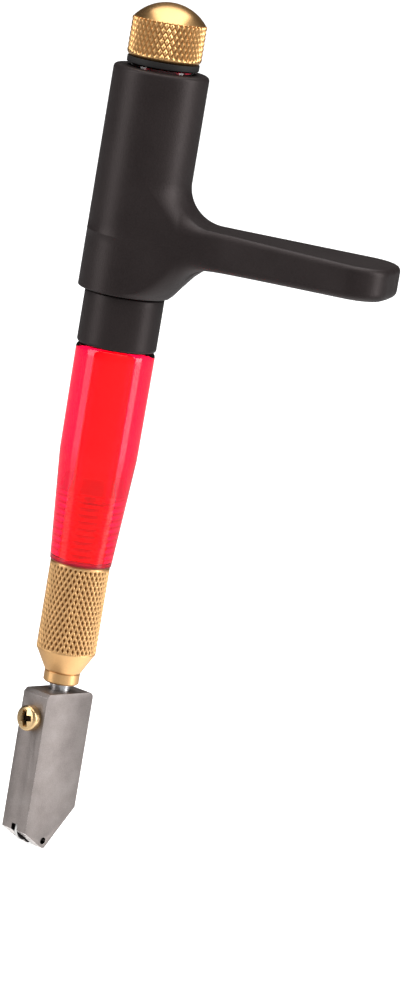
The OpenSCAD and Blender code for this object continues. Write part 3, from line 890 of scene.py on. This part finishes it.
show("palm_rest_moulding", saddle, plastic, "palm_rest", "black_plastic", "saddle")

# The washer: soft black rubber, punched from sheet, which seals the cap on the stem.
washer_low, washer_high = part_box("cap_washer")
washer_z, washer_top = washer_low[2] * 1000, washer_high[2] * 1000
washer_r = washer_high[0] * 1000
washer_hole_r = 4.5
washer_edge = 0.15
washer = turned("washer", [
    straight((washer_hole_r, washer_z), (washer_r - 0.35, washer_z), 4),
    bow((washer_r - washer_edge, washer_z + washer_edge), washer_edge, -80, 0, 4),
    bow((washer_r - washer_edge, washer_top - washer_edge), washer_edge, 0, 80, 4),
    straight((washer_r - 0.35, washer_top), (washer_hole_r, washer_top), 4),
    straight((washer_hole_r, washer_top), (washer_hole_r, washer_z), 3)], 96)
show("rubber_washer", washer, rubber, "washer", "seal_rubber", "cap_washer")

# The filler cap: turned brass with knurled pyramids round its side, a polished dome and
# a threaded plug that closes the oil reservoir.
cap_low, cap_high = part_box("filler_cap")
cap_r = cap_high[0] * 1000
dome_top = cap_high[2] * 1000
plug_low = cap_low[2] * 1000
dome_h = 3.5
grip_top = dome_top - dome_h
grip_foot = washer_top
cap_chamfer = 1.0
dome_base_r = cap_r - 0.15
dome_r = (dome_base_r ** 2 + dome_h ** 2) / (2 * dome_h)
dome_deg = math.degrees(math.acos(dome_base_r / dome_r))
points_round = 42
point_rise = 2.0
point_depth = 0.3
groove_steep = 2.2
groove_bend = 1.5
plug_plain = 1.2
plug_edge = 0.5


def knurled_points(r, z, a):
    """Pyramids between crossing grooves round the cap's side, and a thread on the plug."""
    one, other = lattice(z - grip_foot, a, points_round, point_rise)
    groove = np.clip(1 - groove_steep * np.minimum(one, other), 0, 1) ** groove_bend
    ends = np.clip((z - grip_foot - cap_chamfer * 0.7) / fade_long, 0, 1)
    grip = (r > cap_r - 0.2) & (z < grip_top + 0.02) & (z > grip_foot + 0.2)
    plug = (np.abs(r - stub_r) < 0.01) & (z < grip_foot)
    plug_thread = thread(thread_pitch, thread_depth, plug_low, grip_foot - plug_plain)
    return (np.where(grip, -point_depth * groove * ends, 0)
            + np.where(plug, plug_thread(r, z, a), 0))


cap = turned("cap", [
    [(0, plug_low)], straight((1, plug_low), (stub_r - plug_edge, plug_low), 3),
    straight((stub_r - plug_edge, plug_low), (stub_r, plug_low + plug_edge), 3),
    straight((stub_r, plug_low + plug_edge), (stub_r, grip_foot), 60),
    straight((stub_r, grip_foot), (cap_r - cap_chamfer, grip_foot), 4),
    bow((cap_r - cap_chamfer, grip_foot + cap_chamfer), cap_chamfer, -90, 0, 10)[:-1],
    straight((cap_r, grip_foot + cap_chamfer), (cap_r, grip_top), 56),
    [(cap_r, grip_top)],
    bow((0, dome_top - dome_r), dome_r, dome_deg, 90, 40)], points_round * 10,
    wrap=False, push=knurled_points, crease=30)
cap_brass = brass_finish("cap_brass", (0.98, 0.57, 0.235, 1), (0.38, 0.17, 0.05, 1), 0.24,
                         0.1, 0.32)
show("cap_domed", cap, cap_brass, "cap", "turned_brass", "filler_cap")

# The studio: a plain white floor and white surroundings. In reflections the surroundings
# are dark behind the tool and at its left, and the floor glows only near the tool.
floor_mesh = bpy.data.meshes.new("floor")
floor_half = 6.0
floor_mesh.from_pydata([(x * floor_half, y * floor_half, 0)
                        for x, y in ((-1, -1), (1, -1), (1, 1), (-1, 1))], [], [(0, 1, 2, 3)])
floor = placed("floor", floor_mesh)
floor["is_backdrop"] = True
glow_at = tuple(camera_right * 0.06)
glow_reach = 0.12
glow_strength = 1.2
white_strength = 0.8
floor_white, v = new_finish("floor_white")
seen = (v.node("ShaderNodeLightPath", output="Is Camera Ray")
        + v.node("ShaderNodeLightPath", output="Is Transmission Ray")).clamped(0, 1)
spot = v.node("ShaderNodeTexCoord", output="Object")
away = v.node("ShaderNodeVectorMath", {"operation": "DISTANCE"}, {0: spot, 1: glow_at}, "Value")
dress(floor_white, Base_Color=mixed(seen, (0.30, 0.30, 0.30, 1), (0.90, 0.90, 0.90, 1)),
      Roughness=0.14, Emission_Color=(1, 1, 1, 1),
      Emission_Strength=white_strength * seen
      + glow_strength * (1 - away.clamped(0.01, glow_reach)) * (1 - seen))
floor_mesh.materials.append(floor_white)

world = bpy.data.worlds.new("studio")
bpy.context.scene.world = world
world.use_nodes = True
v = Value(world.node_tree)
mirrored = (v.node("ShaderNodeLightPath", output="Is Glossy Ray")
            * (1 - v.node("ShaderNodeLightPath", output="Is Transmission Ray")))
lit_side = tuple(camera_back * 0.75 + camera_right * 0.66)
facing = v.node("ShaderNodeVectorMath", {"operation": "DOT_PRODUCT"},
                {0: v.node("ShaderNodeTexCoord", output="Generated"), 1: lit_side}, "Value")
mirror_light = 0.03 + 0.4 * facing.clamped(-0.2, 0.9)
strength = mirrored * mirror_light + (1 - mirrored)
world.node_tree.nodes["Background"].inputs["Color"].default_value = (1, 1, 1, 1)
world.node_tree.links.new(strength.socket, world.node_tree.nodes["Background"].inputs["Strength"])


lit_height = 0.08


def softbox(name, azimuth, elevation, distance, wide, tall, power):
    """A rectangle of light that faces the tool from an angle right of the camera."""
    light = bpy.data.lights.new(name, "AREA")
    light.shape = "RECTANGLE"
    light.size = wide
    light.size_y = tall
    light.energy = power
    lamp = placed(name, light)
    a = camera_azimuth + math.radians(azimuth)
    e = math.radians(elevation)
    away = Vector((math.sin(a) * math.cos(e), -math.cos(a) * math.cos(e), math.sin(e)))
    centre = Vector((0, 0, lit_height))
    lamp.location = centre + away * distance
    lamp.rotation_mode = "QUATERNION"
    lamp.rotation_quaternion = away.to_track_quat("Z", "Y")


softbox("key", -72, 20, 0.75, 0.34, 0.9, 3.2)
softbox("fill", 76, 16, 0.85, 0.3, 0.8, 4.5)
softbox("above", 180, 84, 0.9, 0.9, 1.1, 7.0)

low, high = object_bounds()
